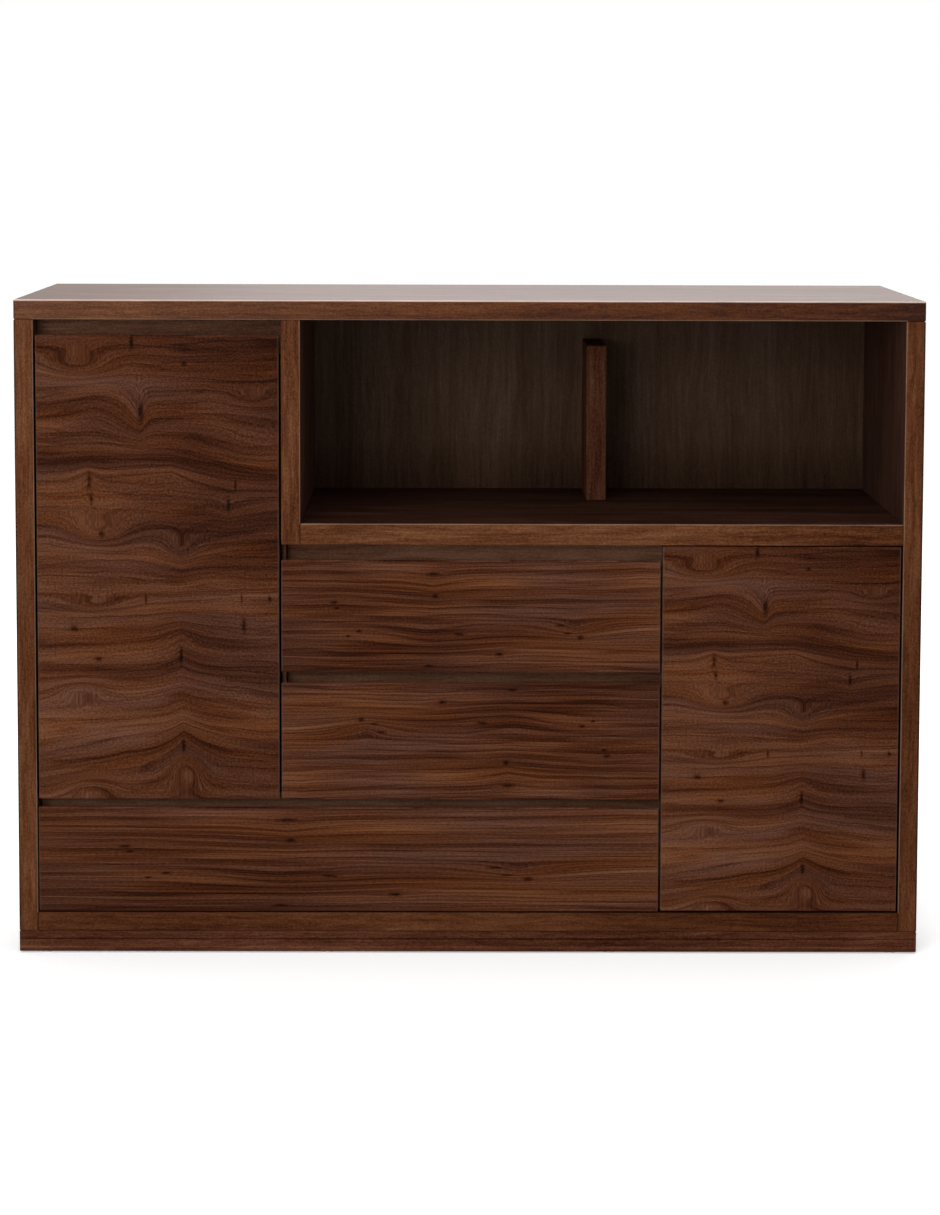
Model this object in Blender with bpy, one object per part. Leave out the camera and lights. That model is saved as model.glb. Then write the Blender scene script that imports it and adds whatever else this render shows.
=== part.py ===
"""Walnut credenza: an open bay, two doors and three drawers in one frame, on a low plinth.

Metres, +Z up. The front faces -Y and the origin is on the floor, under the middle of the cabinet.
The fronts have no handles: each drawer and the left door is pulled by the bevelled lip along its
top edge, and the right door springs open on a touch latch.
"""

import math

import bmesh
import bpy
from mathutils import Vector

# Cabinet outside
WIDTH = 1.200
DEPTH = 0.400
HEIGHT = 0.875

# Boards of the frame
TOP_THICKNESS = 0.026
SIDE_THICKNESS = 0.025
BOTTOM_THICKNESS = 0.025
LEFT_PARTITION_THICKNESS = 0.025
RIGHT_PARTITION_THICKNESS = 0.018
OPEN_SHELF_THICKNESS = 0.028
DECK_THICKNESS = 0.025
EDGE_EASE = 0.0010
SEAM = 0.0003

# Bays between the boards
LEFT_BAY_WIDTH = 0.326
DRAWER_BAY_WIDTH = 0.470

# Back panel, held in grooves all round
BACK_THICKNESS = 0.006
BACK_INSET = 0.010
BACK_GROOVE_DEPTH = 0.006

# Low divider at the back of the open bay, a little right of the bay's middle
DIVIDER_THICKNESS = 0.028
DIVIDER_LENGTH = 0.141
DIVIDER_HEADROOM = 0.051
DIVIDER_OFFSET = 0.0035

# Plinth frame and its nylon glides
PLINTH_HEIGHT = 0.0277
PLINTH_THICKNESS = 0.018
GLIDE_HEIGHT = 0.002
GLIDE_STEM = 0.003
GLIDE_RADIUS = 0.008
GLIDE_EDGE = 0.0007
GLIDE_INSET = 0.035
GLIDES_PER_RAIL = 4

# Doors and drawer fronts
FRONT_THICKNESS = 0.018
FRONT_GAP = 0.003
FRONT_BUFFER = 0.002
FRONT_EDGE_EASE = 0.0013
DRAWER_SIDE_GAP = 0.002
BOTTOM_DRAWER_GAP = 0.002
RIGHT_DOOR_TOP_GAP = 0.0015
TOP_DRAWER_HEIGHT = 0.150
MIDDLE_DRAWER_HEIGHT = 0.157
BOTTOM_DRAWER_HEIGHT = 0.141

# Finger grips: the gap above a front, the bevelled lip on it and the dark rail behind the gap
UPPER_GRIP_GAP = 0.0205
MIDDLE_GRIP_GAP = 0.0145
LOWER_GRIP_GAP = 0.011
GRIP_LIP = 0.005
GRIP_DROP = 0.015
GRIP_DEPTH = 0.036
GRIP_RAIL_THICKNESS = 0.018
GRIP_RAIL_HEIGHT = 0.048
MIDDLE_RAIL_RISE = 0.007
HOUSING_WEB = 0.005
DECK_LAP = 0.001

# Drawer boxes
BOX_REAR_CLEARANCE = 0.021
BOX_SIDE_THICKNESS = 0.015
BOX_BASE_RISE = 0.012
BOX_TOP_DROP = 0.040
BOX_BOTTOM_THICKNESS = 0.006
BOX_BOTTOM_RISE = 0.010
BOX_GROOVE_DEPTH = 0.006

# Telescopic runners, one on each side of a drawer box
RUNNER_THICKNESS = 0.0127
RUNNER_HEIGHT = 0.045
RUNNER_STEEL = 0.0012
RUNNER_PLAY = 0.0004
RUNNER_BALL = 0.003
RUNNER_FIXING = 0.001
RUNNER_RISE = 0.040
RUNNER_SETBACK = 0.003

# Single-pivot concealed hinges
HINGE_GAP = 0.003
HINGE_AXIS_INSET = 0.016
HINGE_AXIS_DEPTH = 0.009
HINGE_END_DISTANCE = 0.090
CUP_RADIUS = 0.0175
CUP_DEPTH = 0.0127
CUP_WALL = 0.0008
CUP_EDGE_DISTANCE = 0.005
CUP_CLEARANCE = 0.0003
CUP_FLANGE_WIDTH = 0.002
CUP_FLANGE_THICKNESS = 0.0012
CUP_EAR_REACH = 0.029
CUP_EAR_WIDTH = 0.014
PIN_RADIUS = 0.0015
PIN_PLAY = 0.0003
HUB_WALL = 0.0007
NECK_CLEARANCE = 0.0007
NECK_THICKNESS = 0.0025
NECK_WIDTH = 0.011
SPOKE_ANGLE = math.radians(22)
SPOKE_THICKNESS = 0.0026
ARM_LENGTH = 0.060
ARM_CHANNEL_WIDTH = 0.016
ARM_CHANNEL_STEEL = 0.0012
ARM_CHANNEL_START = 0.019
PLATE_THICKNESS = 0.003
PLATE_WING_THICKNESS = 0.0015
PLATE_WING_REACH = 0.024
PLATE_WING_WIDTH = 0.012
PLATE_WING_START = 0.022

# Touch latch of the right door
LATCH_WIDTH = 0.014
LATCH_HEIGHT = 0.018
LATCH_LENGTH = 0.062
LATCH_DROP = 0.060
LATCH_SETBACK = 0.008
LATCH_BORE_DEPTH = 0.046
PLUNGER_RADIUS = 0.004
PLUNGER_LENGTH = 0.048
PLUNGER_HEAD_RADIUS = 0.0055
PLUNGER_HEAD_LENGTH = 0.002
STRIKE_RADIUS = 0.008
STRIKE_THICKNESS = 0.001

# Loose shelves on pins
SHELF_THICKNESS = 0.018
SHELF_END_PLAY = 0.001
SHELF_SETBACK = 0.030
SHELF_PIN_RADIUS = 0.0025
SHELF_PIN_DEPTH = 0.008
SHELF_PIN_REACH = 0.010
SHELF_PIN_INSET = 0.037
SHELF_HOLE_PITCH = 0.032
SHELF_HOLE_DEPTH = 0.010

# How finely round shapes are divided, and how far a cutter runs past what it cuts
ROUND_SEGMENTS = 24
SMALL_ROUND_SEGMENTS = 12
PIN_SEGMENTS = 8
ARC_STEP = math.radians(12)
OVERRUN = 0.002

# Planes across the cabinet, from left to right
LEFT = -WIDTH / 2
RIGHT = WIDTH / 2
LEFT_BAY = (LEFT + SIDE_THICKNESS, LEFT + SIDE_THICKNESS + LEFT_BAY_WIDTH)
DRAWER_BAY_START = LEFT_BAY[1] + LEFT_PARTITION_THICKNESS
DRAWER_BAY = (DRAWER_BAY_START, DRAWER_BAY_START + DRAWER_BAY_WIDTH)
RIGHT_BAY = (DRAWER_BAY[1] + RIGHT_PARTITION_THICKNESS, RIGHT - SIDE_THICKNESS)
WIDE_BAY = (LEFT_BAY[0], DRAWER_BAY[1])
OPEN_BAY = (DRAWER_BAY[0], RIGHT_BAY[1])
FRONTS_MEET = DRAWER_BAY[1] + RIGHT_PARTITION_THICKNESS / 2

# Planes from front to back
FRONT = -DEPTH / 2
REAR = DEPTH / 2
FRONTS_BACK = FRONT + FRONT_THICKNESS
CARCASS_FRONT = FRONTS_BACK + FRONT_BUFFER
GRIP_BACK = FRONT + GRIP_DEPTH
BACK_FACE = REAR - BACK_INSET - BACK_THICKNESS
BOARDS_END = BACK_FACE - SEAM

# Levels from the floor up
PLINTH_TOP = GLIDE_HEIGHT + PLINTH_HEIGHT
BOTTOM_UNDERSIDE = PLINTH_TOP + SEAM
BOTTOM_TOP = BOTTOM_UNDERSIDE + BOTTOM_THICKNESS
BOTTOM_DRAWER_BASE = BOTTOM_TOP + BOTTOM_DRAWER_GAP
BOTTOM_DRAWER_TOP = BOTTOM_DRAWER_BASE + BOTTOM_DRAWER_HEIGHT
MIDDLE_DRAWER_BASE = BOTTOM_DRAWER_TOP + LOWER_GRIP_GAP
MIDDLE_DRAWER_TOP = MIDDLE_DRAWER_BASE + MIDDLE_DRAWER_HEIGHT
TOP_DRAWER_BASE = MIDDLE_DRAWER_TOP + MIDDLE_GRIP_GAP
TOP_DRAWER_TOP = TOP_DRAWER_BASE + TOP_DRAWER_HEIGHT
SHELF_UNDERSIDE = TOP_DRAWER_TOP + UPPER_GRIP_GAP
SHELF_TOP = SHELF_UNDERSIDE + OPEN_SHELF_THICKNESS
TOP_UNDERSIDE = HEIGHT - TOP_THICKNESS
LEFT_DOOR_BASE = MIDDLE_DRAWER_BASE
LEFT_DOOR_TOP = TOP_UNDERSIDE - UPPER_GRIP_GAP
DECK_TOP = LEFT_DOOR_BASE + DECK_LAP
DECK_UNDERSIDE = DECK_TOP - DECK_THICKNESS
RIGHT_DOOR_TOP = SHELF_UNDERSIDE - RIGHT_DOOR_TOP_GAP
RIGHT_DOOR_BASE = BOTTOM_TOP + FRONT_GAP

# Grip rails, and the stopped housings in both partitions that take their ends and the deck's
DOOR_RAIL_TOP = TOP_UNDERSIDE - SEAM
TOP_DRAWER_RAIL_TOP = SHELF_UNDERSIDE - SEAM
MIDDLE_DRAWER_RAIL_TOP = TOP_DRAWER_BASE + MIDDLE_RAIL_RISE
GRIP_RAIL_DEPTH = (GRIP_BACK, GRIP_BACK + GRIP_RAIL_THICKNESS)
HOUSING_BACK = GRIP_RAIL_DEPTH[1] + SEAM
HOUSING_ENDS = (LEFT_BAY[1] + HOUSING_WEB, RIGHT_BAY[0] - HOUSING_WEB)


def clear_scene():
    for obj in list(bpy.data.objects):
        bpy.data.objects.remove(obj)


def material(name, color, roughness, metallic=0.0):
    made = bpy.data.materials.new(name)
    made.use_nodes = True
    shader = made.node_tree.nodes["Principled BSDF"]
    shader.inputs["Base Color"].default_value = (*color, 1.0)
    shader.inputs["Roughness"].default_value = roughness
    shader.inputs["Metallic"].default_value = metallic
    return made


clear_scene()
FIGURED_WALNUT = material("figured_walnut", (0.110, 0.042, 0.021), 0.42)
STRAIGHT_WALNUT = material("straight_walnut", (0.098, 0.035, 0.017), 0.42)
FRAME_WALNUT = material("frame_walnut", (0.122, 0.050, 0.022), 0.40)
INNER_WALNUT = material("inner_walnut", (0.070, 0.040, 0.024), 0.50)
DARK_RAIL = material("dark_rail", (0.042, 0.028, 0.018), 0.50)
DRAWER_BIRCH = material("drawer_birch", (0.480, 0.330, 0.190), 0.50)
STEEL = material("plated_steel", (0.560, 0.560, 0.550), 0.32, 1.0)
BLACK_PLASTIC = material("black_plastic", (0.020, 0.020, 0.021), 0.45)


def add_prism(bm, outline, along, span):
    """A closed outline drawn across one axis and carried along it."""
    place = {
        "X": lambda a, b, c: (c, a, b),
        "Y": lambda a, b, c: (a, c, b),
        "Z": lambda a, b, c: (a, b, c),
    }[along]
    start, end = ([bm.verts.new(place(a, b, level)) for a, b in outline] for level in span)
    faces = [bm.faces.new(start[::-1]), bm.faces.new(end)]
    for n in range(-1, len(outline) - 1):
        faces.append(bm.faces.new((start[n], start[n + 1], end[n + 1], end[n])))
    turn = sum(a * d - b * c for (a, b), (c, d) in zip(outline, outline[1:] + outline[:1]))
    if (turn < 0) != (along == "Y"):
        bmesh.ops.reverse_faces(bm, faces=faces)


def add_box(bm, x, y, z):
    add_prism(bm, [(x[0], y[0]), (x[1], y[0]), (x[1], y[1]), (x[0], y[1])], "Z", z)


def circle(centre, radius, segments):
    step = math.tau / segments
    return [
        (centre[0] + radius * math.cos(step * n), centre[1] + radius * math.sin(step * n))
        for n in range(segments)
    ]


def arc(radius, start, end):
    """Points on a circle round the origin, both ends included."""
    steps = max(1, round(abs(end - start) / ARC_STEP))
    angles = [start + (end - start) * n / steps for n in range(steps + 1)]
    return [(radius * math.cos(angle), radius * math.sin(angle)) for angle in angles]


def add_turned(bm, profile, centre, axis, segments):
    """A turned solid. profile holds (distance along the axis, radius), with both ends on the axis."""
    along = Vector(axis)
    across = along.orthogonal().normalized()
    verts = [bm.verts.new(Vector(centre) + along * d + across * r) for d, r in profile]
    edges = [bm.edges.new(pair) for pair in zip(verts, verts[1:])]
    bmesh.ops.spin(
        bm, geom=verts + edges, cent=centre, axis=along, angle=math.tau, steps=segments, use_merge=True
    )
    bmesh.ops.remove_doubles(bm, verts=bm.verts, dist=1e-6)
    bmesh.ops.recalc_face_normals(bm, faces=bm.faces)


def solid(name, bm, finish, parent=None, origin=None):
    """Makes the named object from a mesh in cabinet coordinates, with its origin at its own middle."""
    corners = [vert.co.copy() for vert in bm.verts]
    if origin is None:
        low = Vector([min(corner[i] for corner in corners) for i in range(3)])
        high = Vector([max(corner[i] for corner in corners) for i in range(3)])
        origin = (low + high) / 2
    bmesh.ops.translate(bm, verts=bm.verts, vec=-Vector(origin))
    mesh = bpy.data.meshes.new(name)
    bm.to_mesh(mesh)
    bm.free()
    mesh.materials.append(finish)
    obj = bpy.data.objects.new(name, mesh)
    bpy.context.scene.collection.objects.link(obj)
    obj.location = Vector(origin)
    if parent is not None:
        obj.parent = parent
        obj.location -= parent.location
    return obj


def ease_edges(obj, width=EDGE_EASE):
    bevel = obj.modifiers.new("eased_edges", "BEVEL")
    bevel.width = width
    bevel.segments = 1
    bevel.limit_method = "ANGLE"
    return obj


def combine(obj, other_mesh, operation):
    """Cuts the other mesh from the object, or joins it on."""
    tool = solid(f"{obj.name}_{operation.lower()}", other_mesh, obj.data.materials[0], obj.parent)
    tool.hide_render = True
    tool.display_type = "WIRE"
    boolean = obj.modifiers.new(operation.lower(), "BOOLEAN")
    boolean.operation = operation
    boolean.object = tool
    return obj


def board(name, x, y, z, finish, parent=None):
    bm = bmesh.new()
    add_box(bm, x, y, z)
    return ease_edges(solid(name, bm, finish, parent))


def smooth_round_faces(obj, angle=math.radians(40)):
    obj.data.shade_smooth()
    obj.data.set_sharp_from_angle(angle=angle)
    return obj


def pivot(name, location):
    """An empty on a joint's axis, which carries the pieces that move together."""
    empty = bpy.data.objects.new(name, None)
    empty.location = Vector(location)
    bpy.context.scene.collection.objects.link(empty)
    return empty


def back_groove(bm, x, z):
    """The slot that holds the back panel's edge."""
    add_box(bm, x, (BACK_FACE - SEAM, BACK_FACE + BACK_THICKNESS + SEAM), z)


def add_shelf_holes(bm, shelf_base, face, inward):
    """Rows of holes in a bay's wall for one shelf, whose pins take the middle hole of each row."""
    level = shelf_base + SHELF_THICKNESS / 2
    span = sorted((face + inward * OVERRUN, face - inward * SHELF_HOLE_DEPTH))
    for y in shelf_pin_places():
        for step in (-1, 0, 1):
            centre = (y, level + step * SHELF_HOLE_PITCH)
            add_prism(bm, circle(centre, SHELF_PIN_RADIUS + SEAM, PIN_SEGMENTS), "X", span)


def shelf_pin_places():
    start = FRONTS_BACK + SHELF_SETBACK + SHELF_PIN_INSET
    return (start, BOARDS_END - SHELF_PIN_INSET)


def shelf_levels(low, high, count):
    """Undersides that divide a bay's height evenly among its loose shelves."""
    pitch = (high - low) / (count + 1)
    return [low + pitch * (n + 1) - SHELF_THICKNESS / 2 for n in range(count)]


LEFT_SHELF_LEVELS = shelf_levels(DECK_TOP, TOP_UNDERSIDE, 1)
RIGHT_SHELF_LEVELS = shelf_levels(BOTTOM_TOP, SHELF_UNDERSIDE, 1)


def build_frame():
    """Top, sides and bottom, with the back panel in their grooves."""
    groove_ends = (LEFT_BAY[0] - BACK_GROOVE_DEPTH, RIGHT_BAY[1] + BACK_GROOVE_DEPTH)
    groove_levels = (BOTTOM_TOP - BACK_GROOVE_DEPTH, TOP_UNDERSIDE + BACK_GROOVE_DEPTH)

    top = board("top_panel", (LEFT, RIGHT), (FRONT, REAR), (TOP_UNDERSIDE, HEIGHT), FRAME_WALNUT)
    slot = bmesh.new()
    back_groove(slot, groove_ends, (TOP_UNDERSIDE - OVERRUN, groove_levels[1]))
    combine(top, slot, "DIFFERENCE")

    side_levels = (BOTTOM_UNDERSIDE, TOP_UNDERSIDE - SEAM)
    walls = (
        ("left_side_panel", (LEFT, LEFT_BAY[0]), LEFT_BAY[0], 1, LEFT_SHELF_LEVELS),
        ("right_side_panel", (RIGHT_BAY[1], RIGHT), RIGHT_BAY[1], -1, RIGHT_SHELF_LEVELS),
    )
    for name, x, face, inward, levels in walls:
        side = board(name, x, (FRONT, REAR), side_levels, FRAME_WALNUT)
        cuts = bmesh.new()
        slot_x = sorted((face + inward * OVERRUN, face - inward * BACK_GROOVE_DEPTH))
        back_groove(cuts, slot_x, (groove_levels[0], side_levels[1] + OVERRUN))
        for level in levels:
            add_shelf_holes(cuts, level, face, inward)
        combine(side, cuts, "DIFFERENCE")

    inside = (LEFT_BAY[0] + SEAM, RIGHT_BAY[1] - SEAM)
    bottom = board("bottom_panel", inside, (FRONT, REAR), (BOTTOM_UNDERSIDE, BOTTOM_TOP), FRAME_WALNUT)
    slot = bmesh.new()
    past_ends = (inside[0] - OVERRUN, inside[1] + OVERRUN)
    back_groove(slot, past_ends, (groove_levels[0], BOTTOM_TOP + OVERRUN))
    combine(bottom, slot, "DIFFERENCE")

    board(
        "back_panel",
        (groove_ends[0] + SEAM, groove_ends[1] - SEAM),
        (BACK_FACE, BACK_FACE + BACK_THICKNESS),
        (groove_levels[0] + SEAM, groove_levels[1] - SEAM),
        INNER_WALNUT,
    )


def add_rail_housings(bm, x):
    """Cutters for the ends of both drawer grip rails, open to the front."""
    for top in (TOP_DRAWER_RAIL_TOP, MIDDLE_DRAWER_RAIL_TOP):
        levels = (top - GRIP_RAIL_HEIGHT - SEAM, top + SEAM)
        add_box(bm, x, (CARCASS_FRONT - OVERRUN, HOUSING_BACK), levels)


def build_inner_boards():
    """The boards that divide the frame into bays."""
    bm = bmesh.new()
    base = DECK_TOP + SEAM
    top = TOP_UNDERSIDE - SEAM
    outline = [
        (FRONT, SHELF_UNDERSIDE),
        (CARCASS_FRONT, SHELF_UNDERSIDE),
        (CARCASS_FRONT, base),
        (BOARDS_END, base),
        (BOARDS_END, top),
        (FRONT, top),
    ]
    add_prism(bm, outline, "X", (LEFT_BAY[1], DRAWER_BAY[0]))
    left = ease_edges(solid("left_partition", bm, FRAME_WALNUT))
    cuts = bmesh.new()
    for level in LEFT_SHELF_LEVELS:
        add_shelf_holes(cuts, level, LEFT_BAY[1], -1)
    add_rail_housings(cuts, (HOUSING_ENDS[0], DRAWER_BAY[0] + OVERRUN))
    combine(left, cuts, "DIFFERENCE")

    right = board(
        "right_partition",
        (DRAWER_BAY[1], RIGHT_BAY[0]),
        (CARCASS_FRONT, BOARDS_END),
        (BOTTOM_TOP + SEAM, SHELF_UNDERSIDE - SEAM),
        FRAME_WALNUT,
    )
    cuts = bmesh.new()
    for level in RIGHT_SHELF_LEVELS:
        add_shelf_holes(cuts, level, RIGHT_BAY[0], 1)
    housing_x = (DRAWER_BAY[1] - OVERRUN, HOUSING_ENDS[1])
    add_rail_housings(cuts, housing_x)
    deck_slot_y = (CARCASS_FRONT - OVERRUN, BOARDS_END + OVERRUN)
    add_box(cuts, housing_x, deck_slot_y, (DECK_UNDERSIDE - SEAM, DECK_TOP + SEAM))
    combine(right, cuts, "DIFFERENCE")

    board(
        "open_shelf",
        (OPEN_BAY[0] + SEAM, OPEN_BAY[1] - SEAM),
        (FRONT, BOARDS_END),
        (SHELF_UNDERSIDE, SHELF_TOP),
        FRAME_WALNUT,
    )
    board(
        "drawer_deck",
        (WIDE_BAY[0] + SEAM, HOUSING_ENDS[1] - SEAM),
        (GRIP_BACK, BOARDS_END),
        (DECK_UNDERSIDE, DECK_TOP),
        DARK_RAIL,
    )
    middle = (OPEN_BAY[0] + OPEN_BAY[1]) / 2 + DIVIDER_OFFSET
    board(
        "compartment_divider",
        (middle - DIVIDER_THICKNESS / 2, middle + DIVIDER_THICKNESS / 2),
        (BOARDS_END - DIVIDER_LENGTH, BOARDS_END),
        (SHELF_TOP + SEAM, TOP_UNDERSIDE - DIVIDER_HEADROOM),
        FRAME_WALNUT,
    )


def build_grip_rails():
    """Dark rails that close the finger gaps, set back so that fingers reach behind the lip."""
    door_span = (LEFT_BAY[0] + SEAM, LEFT_BAY[1] - SEAM)
    drawer_span = (HOUSING_ENDS[0] + SEAM, HOUSING_ENDS[1] - SEAM)
    rails = (
        ("door_grip_rail", door_span, DOOR_RAIL_TOP),
        ("top_drawer_grip_rail", drawer_span, TOP_DRAWER_RAIL_TOP),
        ("middle_drawer_grip_rail", drawer_span, MIDDLE_DRAWER_RAIL_TOP),
    )
    for name, x, top in rails:
        board(name, x, GRIP_RAIL_DEPTH, (top - GRIP_RAIL_HEIGHT, top), DARK_RAIL)


def build_plinth():
    """A low frame flush with the cabinet's outside, its long rails on nylon glides."""
    levels = (GLIDE_HEIGHT, PLINTH_TOP)
    front_y = (FRONT, FRONT + PLINTH_THICKNESS)
    back_y = (REAR - PLINTH_THICKNESS, REAR)
    for name, y, finish in (("front", front_y, STRAIGHT_WALNUT), ("back", back_y, FRAME_WALNUT)):
        rail = board(f"plinth_{name}", (LEFT, RIGHT), y, levels, finish)
        combine(rail, glides_along((y[0] + y[1]) / 2), "UNION")
        smooth_round_faces(rail)

    between = (front_y[1] + SEAM, back_y[0] - SEAM)
    half = PLINTH_THICKNESS / 2
    crosspieces = (
        ("left", LEFT + half, FRAME_WALNUT),
        ("right", RIGHT - half, FRAME_WALNUT),
        ("brace", 0.0, INNER_WALNUT),
    )
    for name, x, finish in crosspieces:
        board(f"plinth_{name}", (x - half, x + half), between, levels, finish)


def glides_along(y):
    """A row of nylon discs whose stems are driven into a plinth rail."""
    stem_top = GLIDE_HEIGHT + GLIDE_STEM
    profile = [
        (0.0, 0.0),
        (0.0, GLIDE_RADIUS - GLIDE_EDGE),
        (GLIDE_EDGE, GLIDE_RADIUS),
        (stem_top, GLIDE_RADIUS),
        (stem_top, 0.0),
    ]
    bm = bmesh.new()
    first, last = LEFT + GLIDE_INSET, RIGHT - GLIDE_INSET
    for n in range(GLIDES_PER_RAIL):
        x = first + (last - first) * n / (GLIDES_PER_RAIL - 1)
        add_turned(bm, profile, (x, y, 0.0), (0, 0, 1), SMALL_ROUND_SEGMENTS)
    return bm


def build_loose_shelves():
    """Loose shelves with steel pins in their ends, which seat in the holes of the bay's walls."""
    shelves = (
        ("left_shelf", LEFT_BAY, LEFT_SHELF_LEVELS[0]),
        ("right_shelf", RIGHT_BAY, RIGHT_SHELF_LEVELS[0]),
    )
    for name, bay, level in shelves:
        ends = (bay[0] + SHELF_END_PLAY, bay[1] - SHELF_END_PLAY)
        depth = (FRONTS_BACK + SHELF_SETBACK, BOARDS_END)
        shelf = board(name, ends, depth, (level, level + SHELF_THICKNESS), INNER_WALNUT)
        pins = bmesh.new()
        for wall, end in ((bay[0] - SHELF_PIN_DEPTH, ends[0]), (bay[1] + SHELF_PIN_DEPTH, ends[1])):
            inner = end + math.copysign(SHELF_PIN_REACH, end - wall)
            for y in shelf_pin_places():
                outline = circle((y, level + SHELF_THICKNESS / 2), SHELF_PIN_RADIUS, PIN_SEGMENTS)
                add_prism(pins, outline, "X", sorted((wall, inner)))
        combine(shelf, pins, "UNION")


def grip_outline(base, top):
    """A front's section across its width: flat face, square base and a lip bevelled behind the top edge."""
    return [
        (FRONT, base),
        (FRONTS_BACK, base),
        (FRONTS_BACK, top - GRIP_DROP),
        (FRONT + GRIP_LIP, top),
        (FRONT, top),
    ]


def front_panel(name, x, base, top, finish, parent, grip=True):
    """A door or drawer front, with or without a finger grip along its top."""
    plain = [(FRONT, base), (FRONTS_BACK, base), (FRONTS_BACK, top), (FRONT, top)]
    bm = bmesh.new()
    add_prism(bm, grip_outline(base, top) if grip else plain, "X", x)
    return ease_edges(solid(name, bm, finish, parent), FRONT_EDGE_EASE)


class Drawer:
    """One drawer: its front, its grooved box and the telescopic runners on both sides."""

    def __init__(self, name, bay, front_x, base, top):
        self.name = name
        self.bay = bay
        self.front_x = front_x
        self.base = base
        self.top = top
        self.box_base = base + BOX_BASE_RISE
        self.box_top = top - BOX_TOP_DROP
        reach = RUNNER_THICKNESS + 2 * SEAM
        self.box_x = (bay[0] + reach, bay[1] - reach)
        self.inner_x = (self.box_x[0] + BOX_SIDE_THICKNESS, self.box_x[1] - BOX_SIDE_THICKNESS)
        self.box_y = (FRONTS_BACK + SEAM, BACK_FACE - BOX_REAR_CLEARANCE)
        bottom_base = self.box_base + BOX_BOTTOM_RISE
        self.bottom_z = (bottom_base, bottom_base + BOX_BOTTOM_THICKNESS)
        self.bottom_x = (
            self.inner_x[0] - BOX_GROOVE_DEPTH + SEAM,
            self.inner_x[1] + BOX_GROOVE_DEPTH - SEAM,
        )
        self.carrier = pivot(f"{name}_slide", ((bay[0] + bay[1]) / 2, FRONT, self.box_base))
        self.middle_carrier = pivot(f"{name}_middle_slide", self.carrier.location)

    def build(self):
        self.build_front()
        self.build_box()

    def bottom_slot(self, x, y):
        bm = bmesh.new()
        add_box(bm, x, y, (self.bottom_z[0] - SEAM, self.bottom_z[1] + SEAM))
        return bm

    def build_front(self):
        name = f"{self.name}_front"
        front = front_panel(name, self.front_x, self.base, self.top, STRAIGHT_WALNUT, self.carrier)
        slot_x = (self.bottom_x[0] - SEAM, self.bottom_x[1] + SEAM)
        slot_y = (FRONTS_BACK - BOX_GROOVE_DEPTH, FRONTS_BACK + OVERRUN)
        combine(front, self.bottom_slot(slot_x, slot_y), "DIFFERENCE")

    def build_box(self):
        sides = (
            ("left", (self.box_x[0], self.inner_x[0]), self.inner_x[0], -1),
            ("right", (self.inner_x[1], self.box_x[1]), self.inner_x[1], 1),
        )
        for side, x, face, outward in sides:
            name = f"{self.name}_{side}"
            wall = board(name, x, self.box_y, (self.box_base, self.box_top), DRAWER_BIRCH, self.carrier)
            slot_x = sorted((face - outward * OVERRUN, face + outward * BOX_GROOVE_DEPTH))
            slot_y = (self.box_y[0] - OVERRUN, self.box_y[1] + OVERRUN)
            combine(wall, self.bottom_slot(slot_x, slot_y), "DIFFERENCE")
            self.build_runner(wall, side, -outward)
        board(
            f"{self.name}_back",
            (self.inner_x[0] + SEAM, self.inner_x[1] - SEAM),
            (self.box_y[1] - BOX_SIDE_THICKNESS, self.box_y[1]),
            (self.bottom_z[1] + SEAM, self.box_top),
            DRAWER_BIRCH,
            self.carrier,
        )
        bottom_y = (FRONTS_BACK - BOX_GROOVE_DEPTH + SEAM, self.box_y[1])
        board(f"{self.name}_bottom", self.bottom_x, bottom_y, self.bottom_z, DRAWER_BIRCH, self.carrier)

    def build_runner(self, wall, side, inward):
        """Three nested steel members: on the cabinet, between, and screwed flat on the drawer's side."""
        cabinet_wall = self.bay[0] if inward > 0 else self.bay[1]
        level = self.box_base + RUNNER_RISE
        start = FRONTS_BACK + RUNNER_SETBACK

        def member(outline):
            bm = bmesh.new()
            placed = [(cabinet_wall + inward * (SEAM + u), level + v) for u, v in outline]
            add_prism(bm, placed, "Y", (start, self.box_y[1]))
            return bm

        name = f"{self.name}_{side}"
        solid(f"{name}_cabinet_runner", member(cabinet_runner_outline()), STEEL)
        solid(f"{name}_middle_runner", member(middle_runner_outline()), STEEL, self.middle_carrier)
        combine(wall, member(drawer_runner_outline()), "UNION")


def mirrored_below(upper_half):
    """Completes a runner section drawn above its middle line with the same points below it."""
    return upper_half + [(u, -v) for u, v in reversed(upper_half)]


def cabinet_runner_outline():
    """A channel on the cabinet's wall, with returned lips that keep the outer ball rows in."""
    half = RUNNER_HEIGHT / 2
    mouth = RUNNER_THICKNESS - 2 * RUNNER_STEEL
    inner = half - RUNNER_STEEL
    return mirrored_below(
        [
            (0.0, half),
            (mouth, half),
            (mouth, inner - RUNNER_STEEL),
            (mouth - RUNNER_STEEL, inner - RUNNER_STEEL),
            (mouth - RUNNER_STEEL, inner),
            (RUNNER_STEEL, inner),
        ]
    )


def runner_levels():
    """Half heights of the nested members: middle member outside and inside, drawer member outside."""
    middle_outside = RUNNER_HEIGHT / 2 - RUNNER_STEEL - RUNNER_PLAY - RUNNER_BALL
    middle_inside = middle_outside - RUNNER_STEEL
    drawer_outside = middle_inside - RUNNER_BALL - RUNNER_PLAY
    return middle_outside, middle_inside, drawer_outside


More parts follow.
